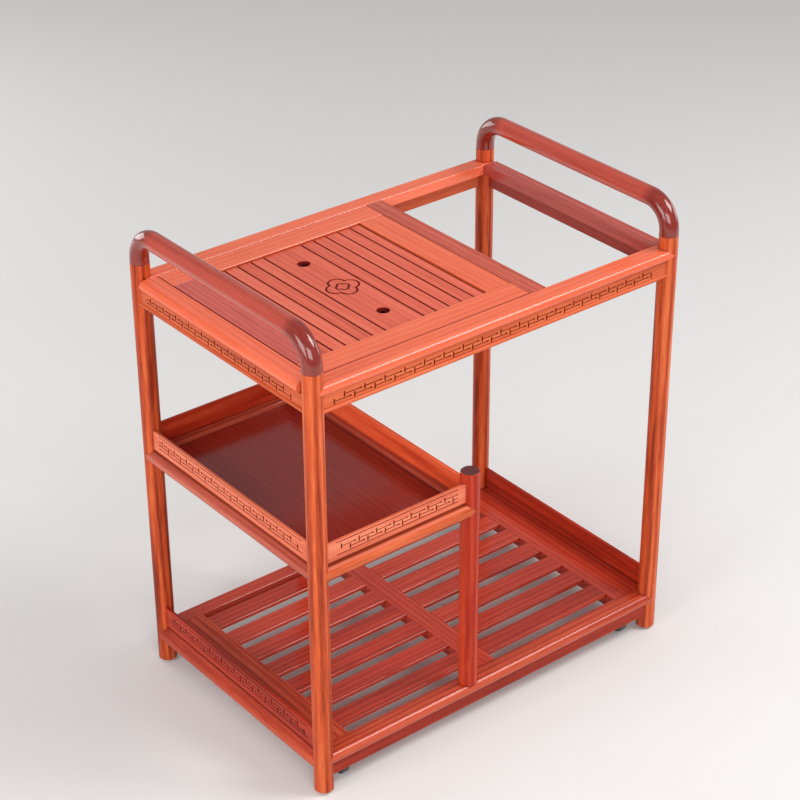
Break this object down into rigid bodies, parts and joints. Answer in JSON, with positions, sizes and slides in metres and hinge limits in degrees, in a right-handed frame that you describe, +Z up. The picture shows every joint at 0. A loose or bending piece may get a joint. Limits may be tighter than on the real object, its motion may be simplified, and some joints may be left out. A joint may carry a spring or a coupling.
{
  "type": "tea cart",
  "caption": "Tall wooden tea cart with a slatted lift-out tea tray over a drip pan, arched handrails, a middle shelf, a slatted base shelf and an open stove bay.",
  "frame": {"origin": "floor under the middle of the table", "axes": "+X along the length towards the open stove bay, -Y the front, +Z up"},
  "size_m": [0.724, 0.472, 0.8138],
  "materials": {
    "frame_wood": "gloss",
    "handrail_wood": "gloss",
    "panel_wood": "gloss",
    "zinc_steel": "satin",
    "pan_plastic": "matte",
    "caster_tread": "matte"
  },
  "bodies": {
    "cart": {"base_divider": "frame_wood", "base_gallery_left": "frame_wood", "base_gallery_right": "frame_wood", "base_rail_back": "frame_wood", "base_rail_front": "frame_wood", "base_rail_left": "frame_wood", "base_rail_right": "frame_wood", "base_slats_left": "frame_wood", "base_slats_right": "frame_wood", "base_strips": "frame_wood", "caster_plates": "zinc_steel", "handrail_dowels": "frame_wood", "handrail_left": "handrail_wood", "handrail_right": "handrail_wood", "leg_back_left": "frame_wood", "leg_back_right": "frame_wood", "leg_front_left": "frame_wood", "leg_front_right": "frame_wood", "shelf_gallery_back": "frame_wood", "shelf_gallery_front": "frame_wood", "shelf_gallery_left": "frame_wood", "shelf_gallery_right": "frame_wood", "shelf_panel": "panel_wood", "shelf_post_back": "frame_wood", "shelf_post_front": "frame_wood", "shelf_rail_back": "frame_wood", "shelf_rail_front": "frame_wood", "shelf_rail_left": "frame_wood", "shelf_rail_right": "frame_wood", "top_apron_back": "frame_wood", "top_apron_front": "frame_wood", "top_apron_left": "frame_wood", "top_apron_right": "frame_wood", "top_cross_rail": "frame_wood", "top_rail_back": "frame_wood", "top_rail_front": "frame_wood", "top_rail_left": "frame_wood", "top_rail_right": "frame_wood", "tray_ledgers": "frame_wood", "wood_screws": "zinc_steel"},
    "tray": {"tray_rail_front": "frame_wood", "tray_rail_back": "frame_wood", "tray_rail_left": "frame_wood", "tray_rail_right": "frame_wood"},
    "lid": {"lid_center_board": "frame_wood", "lid_slats": "frame_wood", "lid_battens": "frame_wood"},
    "drip_pan_body": {"drip_pan": "pan_plastic"},
    "swivel_front_left": {"caster_fork_front_left": "zinc_steel", "caster_axle_front_left": "zinc_steel"},
    "wheel_front_left": {"caster_wheel_front_left": "caster_tread"},
    "swivel_front_right": {"caster_fork_front_right": "zinc_steel", "caster_axle_front_right": "zinc_steel"},
    "wheel_front_right": {"caster_wheel_front_right": "caster_tread"},
    "swivel_back_left": {"caster_fork_back_left": "zinc_steel", "caster_axle_back_left": "zinc_steel"},
    "wheel_back_left": {"caster_wheel_back_left": "caster_tread"},
    "swivel_back_right": {"caster_fork_back_right": "zinc_steel", "caster_axle_back_right": "zinc_steel"},
    "wheel_back_right": {"caster_wheel_back_right": "caster_tread"}
  },
  "joints": [
    {"name": "tray_lift", "type": "slide", "parent": "cart", "child": "tray", "axis": [0, 0, 1], "range_m": [0, 0.15]},
    {"name": "lid_lift", "type": "slide", "parent": "tray", "child": "lid", "axis": [0, 0, 1], "range_m": [0, 0.2]},
    {"name": "pan_lift", "type": "slide", "parent": "tray", "child": "drip_pan_body", "axis": [0, 0, 1], "range_m": [0, 0.1]},
    {"name": "caster_swivel_front_left", "type": "hinge", "parent": "cart", "child": "swivel_front_left", "pos_m": [-0.3, -0.185, 0.047], "axis": [0, 0, 1], "continuous": true},
    {"name": "caster_swivel_front_right", "type": "hinge", "parent": "cart", "child": "swivel_front_right", "pos_m": [0.3, -0.185, 0.047], "axis": [0, 0, 1], "continuous": true},
    {"name": "caster_swivel_back_left", "type": "hinge", "parent": "cart", "child": "swivel_back_left", "pos_m": [-0.3, 0.185, 0.047], "axis": [0, 0, 1], "continuous": true},
    {"name": "caster_swivel_back_right", "type": "hinge", "parent": "cart", "child": "swivel_back_right", "pos_m": [0.3, 0.185, 0.047], "axis": [0, 0, 1], "continuous": true},
    {"name": "wheel_spin_front_left", "type": "hinge", "parent": "swivel_front_left", "child": "wheel_front_left", "pos_m": [-0.3, -0.199, 0.018], "axis": [1, 0, 0], "continuous": true},
    {"name": "wheel_spin_front_right", "type": "hinge", "parent": "swivel_front_right", "child": "wheel_front_right", "pos_m": [0.3, -0.199, 0.018], "axis": [1, 0, 0], "continuous": true},
    {"name": "wheel_spin_back_left", "type": "hinge", "parent": "swivel_back_left", "child": "wheel_back_left", "pos_m": [-0.3, 0.199, 0.018], "axis": [1, 0, 0], "continuous": true},
    {"name": "wheel_spin_back_right", "type": "hinge", "parent": "swivel_back_right", "child": "wheel_back_right", "pos_m": [0.3, 0.199, 0.018], "axis": [1, 0, 0], "continuous": true}
  ],
  "couplings": [
    {"joint": "pan_lift", "follows": "lid_lift", "ratio": 0.5}
  ]
}
